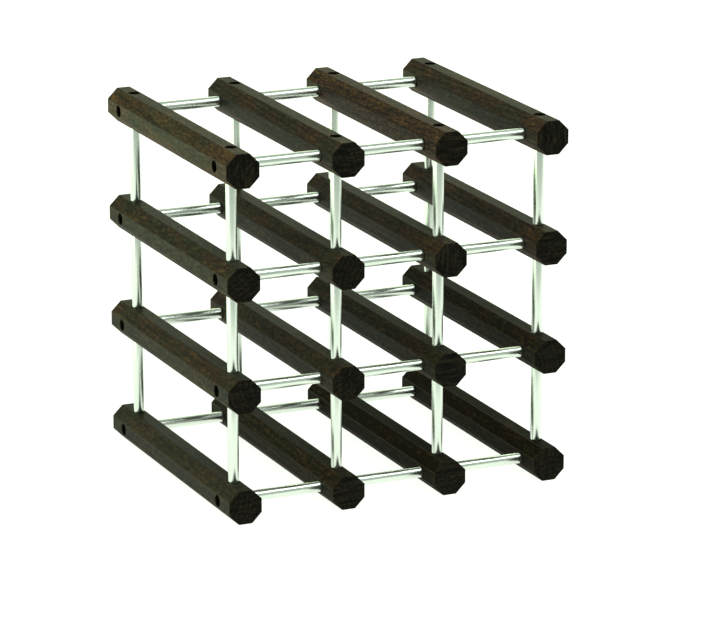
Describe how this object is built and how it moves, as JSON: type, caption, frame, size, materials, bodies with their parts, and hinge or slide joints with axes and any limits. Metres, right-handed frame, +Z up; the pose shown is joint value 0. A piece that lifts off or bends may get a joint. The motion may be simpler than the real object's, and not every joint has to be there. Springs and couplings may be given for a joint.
{
  "type": "wine rack",
  "caption": "Plug-together rack of octagonal wooden bars in a square grid, joined by short round metal rods, that holds bottles lying down.",
  "frame": {"origin": "the middle of the footprint, on the surface that the lowest bars stand on", "axes": "+X to the right for someone in front of the rack, +Y along the bars from the front to the back, +Z up"},
  "size_m": [0.338, 0.29, 0.344],
  "materials": {
    "stained_beech": "dark brown stained beech with a satin lacquer",
    "polished_aluminium": "polished, mirror-like"
  },
  "bodies": {
    "root": {"bar_row1_column1": "stained_beech", "bar_row1_column2": "stained_beech", "bar_row1_column3": "stained_beech", "bar_row1_column4": "stained_beech", "bar_row2_column1": "stained_beech", "bar_row2_column2": "stained_beech", "bar_row2_column3": "stained_beech", "bar_row2_column4": "stained_beech", "bar_row3_column1": "stained_beech", "bar_row3_column2": "stained_beech", "bar_row3_column3": "stained_beech", "bar_row3_column4": "stained_beech", "bar_row4_column1": "stained_beech", "bar_row4_column2": "stained_beech", "bar_row4_column3": "stained_beech", "bar_row4_column4": "stained_beech", "upright_front_column1_row1to2": "polished_aluminium", "upright_front_column1_row2to3": "polished_aluminium", "upright_front_column1_row3to4": "polished_aluminium", "upright_front_column2_row1to2": "polished_aluminium", "upright_front_column2_row2to3": "polished_aluminium", "upright_front_column2_row3to4": "polished_aluminium", "upright_front_column3_row1to2": "polished_aluminium", "upright_front_column3_row2to3": "polished_aluminium", "upright_front_column3_row3to4": "polished_aluminium", "upright_front_column4_row1to2": "polished_aluminium", "upright_front_column4_row2to3": "polished_aluminium", "upright_front_column4_row3to4": "polished_aluminium", "upright_back_column1_row1to2": "polished_aluminium", "upright_back_column1_row2to3": "polished_aluminium", "upright_back_column1_row3to4": "polished_aluminium", "upright_back_column2_row1to2": "polished_aluminium", "upright_back_column2_row2to3": "polished_aluminium", "upright_back_column2_row3to4": "polished_aluminium", "upright_back_column3_row1to2": "polished_aluminium", "upright_back_column3_row2to3": "polished_aluminium", "upright_back_column3_row3to4": "polished_aluminium", "upright_back_column4_row1to2": "polished_aluminium", "upright_back_column4_row2to3": "polished_aluminium", "upright_back_column4_row3to4": "polished_aluminium", "crossbar_front_row1_column1to2": "polished_aluminium", "crossbar_front_row1_column2to3": "polished_aluminium", "crossbar_front_row1_column3to4": "polished_aluminium", "crossbar_front_row2_column1to2": "polished_aluminium", "crossbar_front_row2_column2to3": "polished_aluminium", "crossbar_front_row2_column3to4": "polished_aluminium", "crossbar_front_row3_column1to2": "polished_aluminium", "crossbar_front_row3_column2to3": "polished_aluminium", "crossbar_front_row3_column3to4": "polished_aluminium", "crossbar_front_row4_column1to2": "polished_aluminium", "crossbar_front_row4_column2to3": "polished_aluminium", "crossbar_front_row4_column3to4": "polished_aluminium", "crossbar_back_row1_column1to4": "polished_aluminium", "crossbar_back_row2_column1to2": "polished_aluminium", "crossbar_back_row2_column2to3": "polished_aluminium", "crossbar_back_row2_column3to4": "polished_aluminium", "crossbar_back_row3_column1to2": "polished_aluminium", "crossbar_back_row3_column2to3": "polished_aluminium", "crossbar_back_row3_column3to4": "polished_aluminium", "crossbar_back_row4_column1to4": "polished_aluminium"}
  },
  "joints": []
}
